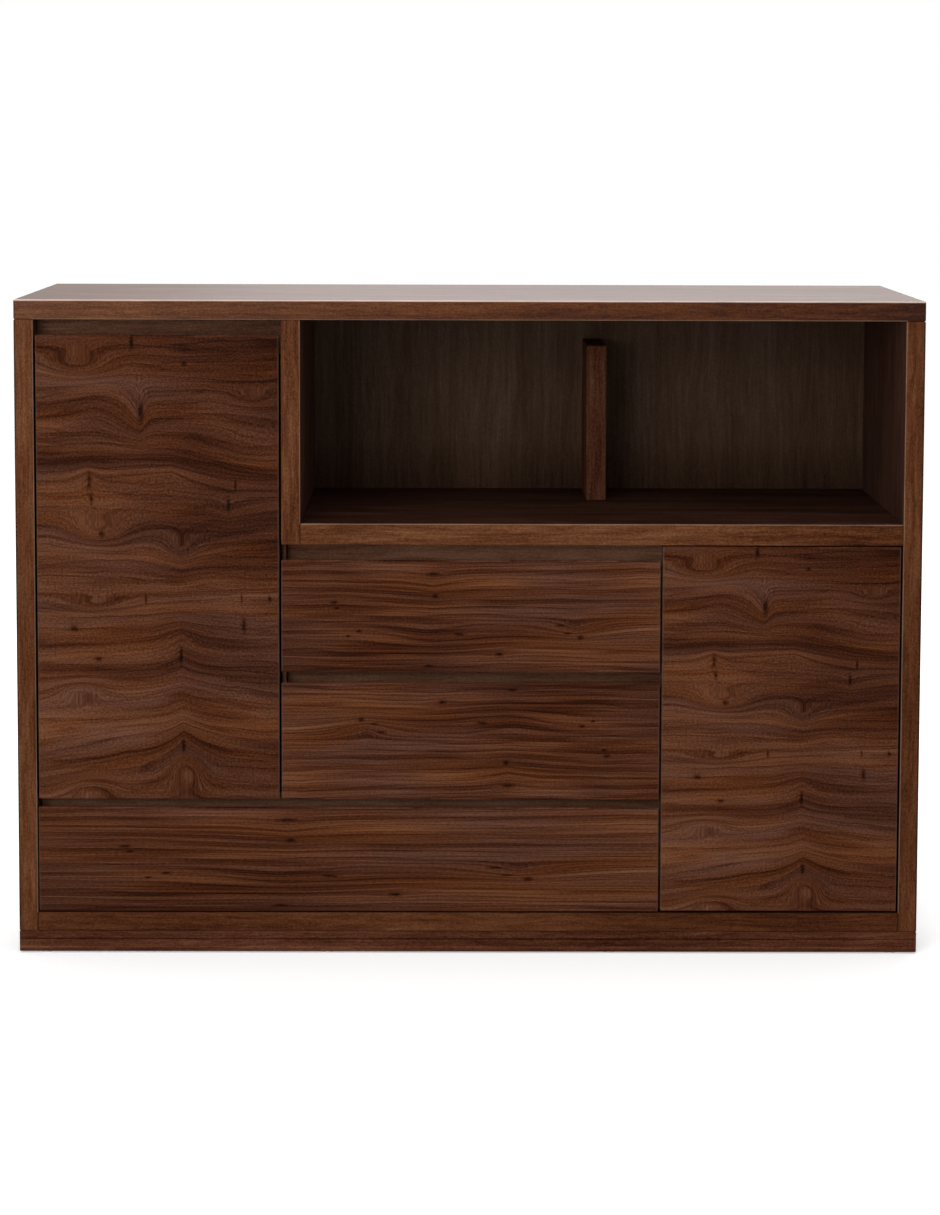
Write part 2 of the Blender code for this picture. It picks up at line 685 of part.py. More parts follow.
def middle_runner_outline():
    """A smaller channel with a ball row along the outside and the inside of each flange."""
    outside, inside, _ = runner_levels()
    web = RUNNER_STEEL + RUNNER_PLAY
    tip = RUNNER_THICKNESS - RUNNER_STEEL - RUNNER_PLAY
    outer_row = web + 2 * RUNNER_STEEL
    inner_row = outer_row + RUNNER_STEEL
    bulge = RUNNER_BALL / 4
    return mirrored_below(
        [
            (web, outside),
            (outer_row, outside),
            (outer_row, outside + RUNNER_BALL - bulge),
            (outer_row + bulge, outside + RUNNER_BALL),
            (outer_row + RUNNER_BALL - bulge, outside + RUNNER_BALL),
            (outer_row + RUNNER_BALL, outside + RUNNER_BALL - bulge),
            (outer_row + RUNNER_BALL, outside),
            (tip, outside),
            (tip, inside),
            (inner_row + RUNNER_BALL, inside),
            (inner_row + RUNNER_BALL, inside - RUNNER_BALL + bulge),
            (inner_row + RUNNER_BALL - bulge, inside - RUNNER_BALL),
            (inner_row + bulge, inside - RUNNER_BALL),
            (inner_row, inside - RUNNER_BALL + bulge),
            (inner_row, inside),
            (web + RUNNER_STEEL, inside),
        ]
    )


def drawer_runner_outline():
    """The inmost channel, fixed on the drawer's side with its open side to the cabinet's wall."""
    drawer_outside = runner_levels()[2]
    start = 2 * RUNNER_STEEL + 2 * RUNNER_PLAY
    back = RUNNER_THICKNESS + RUNNER_FIXING
    return mirrored_below(
        [
            (back, drawer_outside),
            (start, drawer_outside),
            (start, drawer_outside - RUNNER_STEEL),
            (RUNNER_THICKNESS - RUNNER_STEEL, drawer_outside - RUNNER_STEEL),
        ]
    )


def build_drawers():
    upper_front = (LEFT_BAY[1], FRONTS_MEET - FRONT_GAP / 2)
    lower_front = (LEFT_BAY[0] + DRAWER_SIDE_GAP, FRONTS_MEET - FRONT_GAP / 2)
    drawers = (
        Drawer("top_drawer", DRAWER_BAY, upper_front, TOP_DRAWER_BASE, TOP_DRAWER_TOP),
        Drawer("middle_drawer", DRAWER_BAY, upper_front, MIDDLE_DRAWER_BASE, MIDDLE_DRAWER_TOP),
        Drawer("bottom_drawer", WIDE_BAY, lower_front, BOTTOM_DRAWER_BASE, BOTTOM_DRAWER_TOP),
    )
    for drawer in drawers:
        drawer.build()


class HingedDoor:
    """A door set between its frame boards on single-pivot hinges, with the axis inside its thickness.

    Points are measured from the hinge axis: across is towards the door's free edge and back is into
    the cabinet. toward is 1 for a door hinged on the left wall and -1 for one hinged on the right.
    """

    def __init__(self, name, wall, toward, free_edge, base, top, grip):
        self.name = name
        self.toward = toward
        self.base = base
        self.top = top
        self.grip = grip
        self.hinge_edge = wall + toward * HINGE_GAP
        self.free_edge = free_edge
        axis_x = self.hinge_edge + toward * HINGE_AXIS_INSET
        self.axis = Vector((axis_x, FRONT + HINGE_AXIS_DEPTH, base))
        self.wall_distance = -(HINGE_AXIS_INSET + HINGE_GAP)
        self.door_back = FRONT_THICKNESS - HINGE_AXIS_DEPTH
        self.levels = (base + HINGE_END_DISTANCE, top - HINGE_END_DISTANCE)
        self.cup_across = CUP_EDGE_DISTANCE + CUP_RADIUS - HINGE_AXIS_INSET
        self.hub_radius = PIN_RADIUS + PIN_PLAY + HUB_WALL
        self.neck_inside = math.hypot(HINGE_AXIS_INSET, self.door_back) + NECK_CLEARANCE
        self.neck_outside = self.neck_inside + NECK_THICKNESS
        self.carrier = pivot(f"{name}_pivot", self.axis)

    def build(self):
        door = self.build_panel()
        sockets = bmesh.new()
        for place, level in (("lower", self.levels[0]), ("upper", self.levels[1])):
            self.add_cup_socket(sockets, level)
            self.build_cup(f"{self.name}_{place}_hinge_cup", level)
            self.build_arm(f"{self.name}_{place}_hinge_arm", level)
        combine(door, sockets, "DIFFERENCE")

    def point(self, across, back):
        return (self.axis.x + self.toward * across, self.axis.y + back)

    def placed(self, outline):
        return [self.point(across, back) for across, back in outline]

    def across_span(self, first, last):
        return sorted((self.axis.x + self.toward * first, self.axis.x + self.toward * last))

    def back_span(self, first, last):
        return (self.axis.y + first, self.axis.y + last)

    def build_panel(self):
        x = sorted((self.hinge_edge, self.free_edge))
        return front_panel(self.name, x, self.base, self.top, FIGURED_WALNUT, self.carrier, self.grip)

    def add_cup_socket(self, bm, level):
        x, y = self.point(self.cup_across, self.door_back)
        depth = CUP_DEPTH + CUP_CLEARANCE
        outline = circle((x, level), CUP_RADIUS + CUP_CLEARANCE, ROUND_SEGMENTS)
        add_prism(bm, outline, "Y", (y - depth, y + OVERRUN))

    def build_cup(self, name, level):
        """A pressed steel cup in the door's back, with screw ears and a pin riveted across it."""
        seat = self.door_back + SEAM
        floor = self.door_back - CUP_DEPTH
        rim = seat + CUP_FLANGE_THICKNESS
        bore = CUP_RADIUS - CUP_WALL
        shell = [
            (floor, 0.0),
            (floor, CUP_RADIUS),
            (seat, CUP_RADIUS),
            (seat, CUP_RADIUS + CUP_FLANGE_WIDTH),
            (rim, CUP_RADIUS + CUP_FLANGE_WIDTH),
            (rim, 0.0),
        ]
        hollow = [
            (floor + CUP_WALL, 0.0),
            (floor + CUP_WALL, bore),
            (rim + OVERRUN, bore),
            (rim + OVERRUN, 0.0),
        ]
        centre = (*self.point(self.cup_across, 0.0), level)
        shell_mesh, ears, hollow_mesh, pin = (bmesh.new() for _ in range(4))
        add_turned(shell_mesh, shell, centre, (0, 1, 0), ROUND_SEGMENTS)
        add_turned(hollow_mesh, hollow, centre, (0, 1, 0), ROUND_SEGMENTS)
        ear_x = (centre[0] - CUP_EAR_WIDTH / 2, centre[0] + CUP_EAR_WIDTH / 2)
        add_box(ears, ear_x, self.back_span(seat, rim), (level - CUP_EAR_REACH, level + CUP_EAR_REACH))
        half_chord = math.sqrt(CUP_RADIUS**2 - self.cup_across**2) - CUP_WALL / 2
        pin_outline = circle(self.point(0.0, 0.0), PIN_RADIUS, SMALL_ROUND_SEGMENTS)
        add_prism(pin, pin_outline, "Z", (level - half_chord, level + half_chord))

        cup = solid(name, shell_mesh, STEEL, self.carrier)
        combine(cup, ears, "UNION")
        combine(cup, hollow_mesh, "DIFFERENCE")
        combine(cup, pin, "UNION")
        smooth_round_faces(cup)

    def arm_outline(self):
        """Hub round the pin, spoke out of the cup, neck round the door's edge and leg along the wall."""
        leg_wall_side = self.wall_distance + PLATE_THICKNESS + 2 * SEAM
        leg_bay_side = leg_wall_side + NECK_THICKNESS
        leg_end = self.door_back + ARM_LENGTH - OVERRUN
        half = SPOKE_THICKNESS / 2
        outer_start = SPOKE_ANGLE - math.asin(half / self.neck_outside)
        outer_end = math.acos(leg_bay_side / self.neck_outside)
        inner_start = math.acos(leg_wall_side / self.neck_inside)
        inner_end = SPOKE_ANGLE + math.asin(half / self.neck_inside)
        hub_turn = math.asin(half / self.hub_radius)
        return (
            arc(self.neck_outside, outer_start, outer_end)
            + [(leg_bay_side, leg_end), (leg_wall_side, leg_end)]
            + arc(self.neck_inside, inner_start, inner_end)
            + arc(self.hub_radius, SPOKE_ANGLE + hub_turn, SPOKE_ANGLE - hub_turn + math.tau)
        )

    def channel_outline(self, level):
        """The pressed channel of the arm, straddling the mounting plate."""
        ceiling = self.wall_distance + PLATE_THICKNESS + 2 * SEAM + NECK_THICKNESS / 2
        roof = ceiling + ARM_CHANNEL_STEEL + SEAM
        foot = self.wall_distance + PLATE_WING_THICKNESS + 2 * SEAM
        half = ARM_CHANNEL_WIDTH / 2
        inner = half - ARM_CHANNEL_STEEL
        section = [
            (foot, -half), (roof, -half), (roof, half), (foot, half),
            (foot, inner), (ceiling, inner), (ceiling, -inner), (foot, -inner),
        ]
        return [(self.axis.x + self.toward * across, level + up) for across, up in section]

    def build_arm(self, name, level):
        """The gooseneck arm, clipped over its mounting plate on the cabinet's wall."""
        arm_end = self.door_back + ARM_LENGTH
        base = self.wall_distance + SEAM
        half_neck = NECK_WIDTH / 2
        half_core = ARM_CHANNEL_WIDTH / 2 - ARM_CHANNEL_STEEL / 2
        neck, channel, core, wings, bore = (bmesh.new() for _ in range(5))
        add_prism(neck, self.placed(self.arm_outline()), "Z", (level - half_neck, level + half_neck))
        add_prism(channel, self.channel_outline(level), "Y", self.back_span(ARM_CHANNEL_START, arm_end))
        core_x = self.across_span(base, self.wall_distance + PLATE_THICKNESS + SEAM)
        core_y = self.back_span(ARM_CHANNEL_START + OVERRUN, arm_end - OVERRUN)
        add_box(core, core_x, core_y, (level - half_core, level + half_core))
        wing_x = self.across_span(base, self.wall_distance + PLATE_WING_THICKNESS + SEAM)
        wing_y = self.back_span(PLATE_WING_START, PLATE_WING_START + PLATE_WING_WIDTH)
        add_box(wings, wing_x, wing_y, (level - PLATE_WING_REACH, level + PLATE_WING_REACH))
        bore_outline = circle(self.point(0.0, 0.0), PIN_RADIUS + PIN_PLAY, SMALL_ROUND_SEGMENTS)
        bore_span = (level - half_neck - OVERRUN, level + half_neck + OVERRUN)
        add_prism(bore, bore_outline, "Z", bore_span)

        arm = solid(name, neck, STEEL)
        for piece in (channel, core, wings):
            combine(arm, piece, "UNION")
        combine(arm, bore, "DIFFERENCE")
        smooth_round_faces(arm)


def build_doors():
    left = HingedDoor(
        "left_door", LEFT_BAY[0], 1, LEFT_BAY[1] - FRONT_GAP, LEFT_DOOR_BASE, LEFT_DOOR_TOP, True
    )
    right = HingedDoor(
        "right_door", RIGHT_BAY[1], -1, FRONTS_MEET + FRONT_GAP / 2, RIGHT_DOOR_BASE, RIGHT_DOOR_TOP, False
    )
    left.build()
    right.build()
    build_touch_latch(right.carrier)


def build_touch_latch(door_carrier):
    """A latch on the right partition whose sprung plunger bears on a steel disc on the door's back."""
    level = SHELF_UNDERSIDE - LATCH_DROP
    wall = RIGHT_BAY[0] + SEAM
    middle = wall + LATCH_WIDTH / 2
    housing_y = FRONTS_BACK + LATCH_SETBACK
    housing = board(
        "latch_housing",
        (wall, wall + LATCH_WIDTH),
        (housing_y, housing_y + LATCH_LENGTH),
        (level - LATCH_HEIGHT / 2, level + LATCH_HEIGHT / 2),
        BLACK_PLASTIC,
    )
    bore = bmesh.new()
    outline = circle((middle, level), PLUNGER_RADIUS + SEAM, SMALL_ROUND_SEGMENTS)
    add_prism(bore, outline, "Y", (housing_y - OVERRUN, housing_y + LATCH_BORE_DEPTH))
    combine(housing, bore, "DIFFERENCE")

    strike_back = FRONTS_BACK + SEAM + STRIKE_THICKNESS
    strike = bmesh.new()
    add_prism(
        strike, circle((middle, level), STRIKE_RADIUS, ROUND_SEGMENTS), "Y", (FRONTS_BACK + SEAM, strike_back)
    )
    solid("latch_strike", strike, STEEL, door_carrier)

    tip = strike_back + SEAM
    carrier = pivot("latch_plunger_slide", (middle, tip, level))
    plunger = bmesh.new()
    profile = [
        (0.0, 0.0),
        (0.0, PLUNGER_HEAD_RADIUS),
        (PLUNGER_HEAD_LENGTH, PLUNGER_HEAD_RADIUS),
        (PLUNGER_HEAD_LENGTH, PLUNGER_RADIUS),
        (PLUNGER_LENGTH, PLUNGER_RADIUS),
        (PLUNGER_LENGTH, 0.0),
    ]
    add_turned(plunger, profile, (middle, tip, level), (0, 1, 0), SMALL_ROUND_SEGMENTS)
    smooth_round_faces(solid("latch_plunger", plunger, BLACK_PLASTIC, carrier))


build_frame()
build_inner_boards()
build_grip_rails()
build_plinth()
build_loose_shelves()
build_drawers()
build_doors()
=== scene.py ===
from collections import namedtuple
import math

import bmesh
import bpy
from mathutils import Matrix, Vector


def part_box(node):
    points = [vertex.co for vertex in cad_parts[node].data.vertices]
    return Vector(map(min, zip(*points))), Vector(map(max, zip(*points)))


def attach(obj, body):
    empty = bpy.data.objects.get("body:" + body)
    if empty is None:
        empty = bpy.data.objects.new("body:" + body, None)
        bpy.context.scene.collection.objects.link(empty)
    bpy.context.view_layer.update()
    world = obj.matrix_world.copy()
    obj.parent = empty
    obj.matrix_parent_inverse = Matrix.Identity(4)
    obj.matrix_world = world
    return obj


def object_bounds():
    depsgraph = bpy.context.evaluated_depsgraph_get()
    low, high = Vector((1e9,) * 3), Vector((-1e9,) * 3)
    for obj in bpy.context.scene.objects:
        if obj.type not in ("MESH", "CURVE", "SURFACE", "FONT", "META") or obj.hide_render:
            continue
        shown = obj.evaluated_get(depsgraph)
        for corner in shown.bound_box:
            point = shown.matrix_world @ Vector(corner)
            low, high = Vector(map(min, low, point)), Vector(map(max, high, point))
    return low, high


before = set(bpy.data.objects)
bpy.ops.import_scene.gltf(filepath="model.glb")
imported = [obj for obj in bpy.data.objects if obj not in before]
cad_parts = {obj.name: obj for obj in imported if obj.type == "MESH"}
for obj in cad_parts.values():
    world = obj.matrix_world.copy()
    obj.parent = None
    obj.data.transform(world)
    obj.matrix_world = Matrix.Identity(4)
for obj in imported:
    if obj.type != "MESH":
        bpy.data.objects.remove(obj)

cad_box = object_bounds()

# Camera, fitted to the corners of the frame and of the fronts
CAMERA_PLACE = (-0.0177, -3.8739, 1.0891)
CAMERA_YAW = math.radians(-0.278)
CAMERA_PITCH = math.radians(4.642)
CAMERA_ROLL = math.radians(0.163)
CAMERA_LENS = 82.98
CAMERA_SHIFT = -0.2

# Floor, in metres from its middle and behind that
FLOOR_HALF = 9.0
FLOOR_BEHIND = 6.0

# Places on the frame that the finishes of its boards follow
LEFT, FRONT, FOOT = cad_box[0]
RIGHT, BACK, TOP = cad_box[1]
INNER_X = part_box("right_side_panel")[0].x
BOTTOM_BOARD_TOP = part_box("bottom_panel")[1].z
TOP_BOARD_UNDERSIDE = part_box("top_panel")[0].z
SHELF_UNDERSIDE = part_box("open_shelf")[0].z
SHELF_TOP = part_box("open_shelf")[1].z
BACK_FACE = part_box("back_panel")[0].y
GRIP_RAIL_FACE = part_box("top_drawer_grip_rail")[0].y

# How far a finish goes past a face or an edge, so that it takes all of it and no other one
PAST_FACE = 0.0005
PAST_INNER_EDGE = 0.001
PAST_FRONT = 0.003
PAST_EASED_EDGE = 0.0015
PAST_TOP_EDGE = 0.002
PAST_RAIL = 0.001
PAST_BACK = 0.002

# Painted shade on the back of the open bay: how high its dark foot goes and how far it goes down
DARK_FOOT_HEIGHT = 0.07
UNDER_SHELF_TOP = 0.02

# Widths of the lines along the edges of the frame and in the plinth
EDGE_HIGHLIGHT_WIDTH = 0.0020
LEFT_END_WIDTH = 0.0034
RIGHT_END_WIDTH = 0.0046
TOP_EDGE_WIDTH = 0.0030
RIM_HIGHLIGHT_WIDTH = 0.0022
PLINTH_DARK_WIDTH = 0.0020
PLINTH_LIGHT_WIDTH = 0.0024

# Heights of the lines in the plinth
PLINTH_DARK_LINE = 0.0195
PLINTH_LIGHT_LINE = 0.0080

# Units of the figured sheets and of the straight grain in a metre
SHEET_UNITS = 760.0
GRAIN_UNITS = 750.0

# Relief of the woods, metals and plastics
FIGURED_RELIEF = 0.00012
WOOD_RELIEF = 0.0001
METAL_RELIEF = 0.00003
PLASTIC_RELIEF = 0.00004

# Sizes of pieces that are one solid with what carries them
BOX_SIDE_THICKNESS = 0.015
SHELF_THICKNESS = 0.018
SHELF_END_PLAY = 0.001
SHELF_SKIN = 0.0001
GLIDE_HEIGHT = 0.002

# Screws: the head, as shares of its radius and height from the seat up, and its crossed recess,
# as the reach and half width of an arm and the level, at the mouth and at the floor
SCREW_RADIUS = 0.0034
SCREW_HEIGHT = 0.0016
SCREW_SIDES = 12
SCREW_HEAD = ((1.0, 0.0), (1.0, 0.35), (0.90, 0.75), (0.68, 1.0))
RECESS_MOUTH = (0.52, 0.11, 1.0)
RECESS_FLOOR = (0.40, 0.07, 0.4)

# Seats of the screws, from the faces of the fittings that they hold
CUP_SCREW_SPREAD = 0.024
PLATE_SCREW_SPREAD = 0.016
PLATE_SCREW_PLACE = 0.041
PLATE_FACE = 0.0018
ARM_FACE = 0.0064
ARM_SCREW_PLACES = (0.012, 0.030)
RUNNER_WEB_FACE = 0.0115
RUNNER_SCREW_INSET = 0.035


def toned(stops, red, green, blue):
    return tuple((at, (r * red, g * green, b * blue)) for at, (r, g, b) in stops)


# Tones of the woods, dark to light
WALNUT = (
    (0.00, (0.0060, 0.0016, 0.0008)),
    (0.23, (0.0200, 0.0050, 0.0020)),
    (0.35, (0.0385, 0.0102, 0.0044)),
    (0.45, (0.0555, 0.0160, 0.0070)),
    (0.54, (0.0705, 0.0228, 0.0107)),
    (0.62, (0.0885, 0.0306, 0.0153)),
    (0.73, (0.1160, 0.0436, 0.0218)),
    (1.00, (0.1800, 0.0740, 0.0390)),
)
DULL_TONES = toned(WALNUT, 0.92, 1.06, 1.28)
WARM_TONES = toned(WALNUT, 1.12, 1.06, 0.78)
FRAME_TONES = toned(WALNUT, 1.35, 1.48, 1.22)
TOP_TONES = toned(WALNUT, 1.17, 1.12, 0.67)
INNER_TONES = toned(WALNUT, 0.96, 1.72, 2.32)
# Painted shade: the inner faces of the frame take these darker tones.
SHADED_INSIDE_TONES = toned(WALNUT, 0.80, 1.10, 1.55)
DIVIDER_TONES = toned(WALNUT, 1.20, 1.40, 1.50)
# Rail tones are painted light: lighter than the walnut, to make up for the shade in the rails'
# recesses.
RAIL_TONES = toned(WALNUT, 2.36, 3.56, 4.50)
BIRCH = (
    (0.0, (0.400, 0.270, 0.155)),
    (0.5, (0.610, 0.450, 0.280)),
    (1.0, (0.740, 0.590, 0.400)),
)

# Colours of the painted highlights and shade at the edges, and of what is one solid with wood
FRONT_RIM_HIGHLIGHT = (0.118, 0.070, 0.049)
EDGE_HIGHLIGHT = (0.330, 0.220, 0.150)
END_SHADE = (0.016, 0.007, 0.004)
TOP_EDGE_HIGHLIGHT = (0.740, 0.560, 0.480)
BARE_STEEL = (0.55, 0.55, 0.54)
NYLON = (0.66, 0.64, 0.59)

DRAWERS = ("top_drawer", "middle_drawer", "bottom_drawer")


class Wire:
    """A value in a material that can be worked with like a number."""

    def __init__(self, tree, socket):
        self.tree = tree
        self.socket = socket

    def math(self, operation, *values):
        node = self.tree.nodes.new("ShaderNodeMath")
        node.operation = operation
        for slot, value in zip(node.inputs, values):
            plug(self.tree, slot, value)
        return Wire(self.tree, node.outputs[0])

    def __add__(self, other):
        return self.math("ADD", self, other)

    def __sub__(self, other):
        return self.math("SUBTRACT", self, other)

    def __rsub__(self, other):
        return self.math("SUBTRACT", other, self)

    def __mul__(self, other):
        return self.math("MULTIPLY", self, other)

    def __truediv__(self, other):
        return self.math("DIVIDE", self, other)

    __radd__, __rmul__ = __add__, __mul__

    def exp(self):
        return self.math("EXPONENT", self)

    def root(self):
        return self.math("SQRT", self)

    def size(self):
        return self.math("ABSOLUTE", self)

    def fraction(self):
        return self.math("FRACT", self)

    def least(self, other):
        return self.math("MINIMUM", self, other)

    def most(self, other):
        return self.math("MAXIMUM", self, other)

    def clamped(self):
        return self.least(1.0).most(0.0)

    def above(self, limit):
        return self.math("GREATER_THAN", self, limit)

    def below(self, limit):
        return self.math("LESS_THAN", self, limit)


def plug(tree, slot, value):
    if isinstance(value, Wire):
        tree.links.new(value.socket, slot)
    else:
        slot.default_value = value


def new_material(name):
    material = bpy.data.materials.new(name)
    material.use_nodes = True
    return material, material.node_tree


def place_of(tree):
    """The three coordinates of a point at rest, in metres."""
    source = tree.nodes.new("ShaderNodeTexCoord").outputs["Object"]
    split = tree.nodes.new("ShaderNodeSeparateXYZ")
    tree.links.new(source, split.inputs[0])
    return [Wire(tree, socket) for socket in split.outputs]


def noise(x, y, z, detail=2.0, roughness=0.5):
    """Noise at a place that is scaled already. A plain number for z keeps one noise apart."""
    tree = x.tree
    point = tree.nodes.new("ShaderNodeCombineXYZ")
    for slot, value in zip(point.inputs, (x, y, z)):
        plug(tree, slot, value)
    node = tree.nodes.new("ShaderNodeTexNoise")
    node.inputs["Scale"].default_value = 1.0
    node.inputs["Detail"].default_value = detail
    node.inputs["Roughness"].default_value = roughness
    tree.links.new(point.outputs[0], node.inputs["Vector"])
    return Wire(tree, node.outputs[0])


def ramp(value, stops):
    node = value.tree.nodes.new("ShaderNodeValToRGB")
    elements = node.color_ramp.elements
    while len(elements) < len(stops):
        elements.new(0.5)
    for element, (position, color) in zip(elements, stops):
        element.position = position
        element.color = (*color, 1.0) if isinstance(color, tuple) else (color, color, color, 1.0)
    plug(value.tree, node.inputs[0], value)
    return Wire(value.tree, node.outputs[0])


def mix(factor, first, second):
    """first where the factor is 0 and second where it is 1."""
    node = factor.tree.nodes.new("ShaderNodeMix")
    node.data_type = "RGBA"
    plug(factor.tree, node.inputs[0], factor)
    for slot, value in ((node.inputs[6], first), (node.inputs[7], second)):
        plug(factor.tree, slot, (*value, 1.0) if isinstance(value, tuple) else value)
    return Wire(factor.tree, node.outputs[2])


def coat(tree, color, roughness, relief, depth, specular=0.02, metallic=0.0):
    """Sets the surface: colour, roughness and relief may be values or wires."""
    shader = tree.nodes["Principled BSDF"]
    plug(tree, shader.inputs["Base Color"], color)
    plug(tree, shader.inputs["Roughness"], roughness)
    plug(tree, shader.inputs["Metallic"], metallic)
    shader.inputs["Specular IOR Level"].default_value = specular
    bump = tree.nodes.new("ShaderNodeBump")
    bump.inputs["Strength"].default_value = 1.0
    bump.inputs["Distance"].default_value = depth
    plug(tree, bump.inputs["Height"], relief)
    tree.links.new(bump.outputs[0], shader.inputs["Normal"])


def paint(node, material):
    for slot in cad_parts[node].material_slots:
        slot.material = material


def line(value, place, width):
    """1 near a place, a half at half the width away from it and 0 a little further on."""
    return (1.5 - (value - place).size() / (width / 2)).clamped()


def bell(x, y, x0, y0, rx, ry):
    """1 at a point, and less the further away in half widths and half heights."""
    dx, dy = (x - x0) / rx, (y - y0) / ry
    return (0.0 - (dx * dx + dy * dy)).exp()


def cusp(x, y, x0, y0, left, right, reach, round_off=2.0):
    """A blunted crest that falls off at its own rate to each side, and above and below."""
    dx, dy = x - x0, (y - y0) / reach
    slope, lean = (1 / left + 1 / right) / 2, (1 / right - 1 / left) / 2
    spread = (dx * dx + round_off * round_off).root() * slope + dx * lean
    return (0.0 - (spread + dy * dy)).exp()


# Figure of a veneer. Its sheet is left, top, width and height in units of about 1.3 mm, and y runs
# down. lean is how much lighter it grows to the right and downwards, and weights are what its parts
# add to the tone.
Figure = namedtuple("Figure", "sheet crests swells knots bands lean weights")
DOORS = Figure(
    sheet=(38.2, 333.9, 242.1, 465.9),
    # A crest moves the grain lines down by its size: x, y, size, left, right, reach.
    crests=(
        (143, 413, 27, 17, 5, 24),
        (91, 476, -12, 13, 9, 13),
        (173, 470, -9, 34, 26, 15),
        (182, 549, 23, 19, 30, 18),
        (230, 507, 9, 26, 16, 16),
        (182, 584, 7, 60, 40, 12),
        (183, 634, -15, 32, 30, 22),
        (183, 664, -8, 12, 12, 14),
        (183, 690, -17, 46, 40, 26),
        (183, 748, -20, 78, 62, 34),
        (184, 736, -15, 11, 14, 22),
        (40, 760, 9, 60, 60, 40),
    ),
    # A swell pushes the lines apart into an eye: x, y, size, half width, half height.
    swells=(
        (79, 364, 20, 33, 14),
        (254, 396, 11, 20, 9),
        (100, 404, -9, 32, 24),
        (99, 530, 23, 30, 17),
        (96, 604, 12, 44, 9),
        (82, 690, -15, 27, 12),
        (188, 772, -21, 16, 18),
        (92, 790, -14, 26, 12),
        (272, 450, 20, 62, 32),
    ),
    # Knots, dark in the middle: x, y, half width, half height.
    knots=(
        (143, 411, 2.6, 9), (91, 479, 2.2, 8), (93, 497, 1.7, 5), (230, 502, 1.5, 6),
        (103, 532, 2.6, 2.8), (147, 598, 1.1, 4), (75, 627, 3.4, 2.6), (99, 658, 3.2, 2.4),
        (245, 624, 2.0, 6.5), (243, 597, 1.0, 4), (271, 597, 1.6, 3), (182, 655, 1.5, 8),
        (184, 746, 1.6, 6.5), (237, 483, 1.0, 5), (134, 341, 2.0, 6), (186, 362, 2.4, 2.0),
    ),
    # Light and dark bands down the sheet, on a scale where 0.5 is the middle tone.
    bands=(
        (334, 0.52), (340, 0.32), (346, 0.22), (351, 0.48), (356, 0.34), (361, 0.56),
        (385, 0.58), (404, 0.46), (416, 0.36), (421, 0.55), (436, 0.58), (443, 0.50),
        (451, 0.26), (463, 0.22), (473, 0.56), (484, 0.44), (500, 0.52), (530, 0.38),
        (546, 0.56), (568, 0.40), (576, 0.60), (636, 0.56), (645, 0.27), (655, 0.62),
        (672, 0.28), (682, 0.30), (692, 0.46), (708, 0.64), (736, 0.68), (756, 0.26),
        (772, 0.34), (786, 0.42),
    ),
    lean=(-0.15, 0.12),
    weights={
        "bands": 0.53, "wide": 0.54, "streak": 0.34, "fibre": 0.26, "mottle": 0.86, "ring": 0.14,
    },
)
DRAWER_FRONTS = Figure(
    sheet=(282.6, 558.6, 377.9, 112.9),
    crests=(
        (435, 588, 5.5, 34, 30, 20),
        (345, 600, -3.0, 60, 60, 12),
        (575, 632, 5.0, 26, 30, 14),
        (500, 655, -4.0, 22, 60, 12),
        (640, 566, -5.0, 70, 60, 16),
    ),
    swells=(
        (432, 636, 5, 44, 12),
        (574, 628, 5, 34, 8),
        (500, 655, 3, 16, 6),
    ),
    knots=(
        (434, 572, 5.0, 1.6), (436, 594.5, 2.4, 2.0), (335, 601, 3.0, 1.5), (338, 607, 2.2, 1.0),
        (360, 630, 2.4, 1.4), (349, 635, 2.0, 1.2), (500, 653, 3.2, 2.0), (561, 624, 3.2, 1.0),
        (581, 636, 2.8, 2.0), (568, 632, 3.6, 1.0), (460, 633, 5.0, 1.2), (430, 665, 4.0, 1.0),
    ),
    bands=(
        (558, 0.54), (563, 0.46), (567, 0.60), (571, 0.30), (575, 0.52), (580, 0.62),
        (586, 0.50), (590, 0.28), (594, 0.56), (598, 0.36), (602, 0.50), (612, 0.56),
        (618, 0.42), (626, 0.48), (634, 0.44), (640, 0.54), (644, 0.26), (649, 0.60),
        (653, 0.44), (658, 0.58), (664, 0.46), (669, 0.36), (672, 0.50),
    ),
    lean=(0.17, -0.09),
    weights={
        "bands": 0.51, "wide": 0.48, "streak": 0.44, "fibre": 0.84, "mottle": 0.54, "ring": 0.17,
    },
)


def sheet_place(x, y, z, box, sheet, turned):
    """The place on a sheet that is laid over the front's box, turned about if asked."""
    low, high = box
    left, top, wide, tall = sheet
    across = (x - low.x) * (wide / (high.x - low.x))
    down = (high.z - z) * (tall / (high.z - low.z))
    if turned:
        across, down = wide - across, tall - down
    return across + left, down + top + (y - low.y) * SHEET_UNITS


def grain_height(u, v, crests, swells, sway):
    """The height on the sheet that the grain line through a place has, away from the figure."""
    height = v
    for x0, y0, size, left, right, reach in crests:
        height = height - cusp(u, v, x0, y0, left, right, reach) * size
    for x0, y0, size, rx, ry in swells:
        height = height - bell(u, v, x0, y0, rx, ry) * size
    roll = noise(u * 0.014, v * 0.022, 3.0)
    ripple = noise(u * 0.05, v * 0.07, 5.0)
    return height + (roll - 0.5) * (8.0 * sway) + (ripple - 0.5) * (1.6 * sway)


def band_tone(height, sheet, stops):
    """Reads the list of bands at a height on the sheet."""
    top, tall = sheet[1], sheet[3]
    scaled = [((level - top) / tall, tone) for level, tone in stops]
    return ramp((height - top) * (1 / tall), scaled) + 0.03


def dark_spots(u, v, height, knots, run, fine):
    """What the veins and the knots take from the tone."""
    vein = noise(u * (0.005 * run), height * (0.10 * fine), 27.0)
    vein = (1.0 - (vein - 0.5).size() * 24.0).clamped()
    return vein * 0.13 + sum(bell(u, v, *knot) for knot in knots).clamped() * 0.40


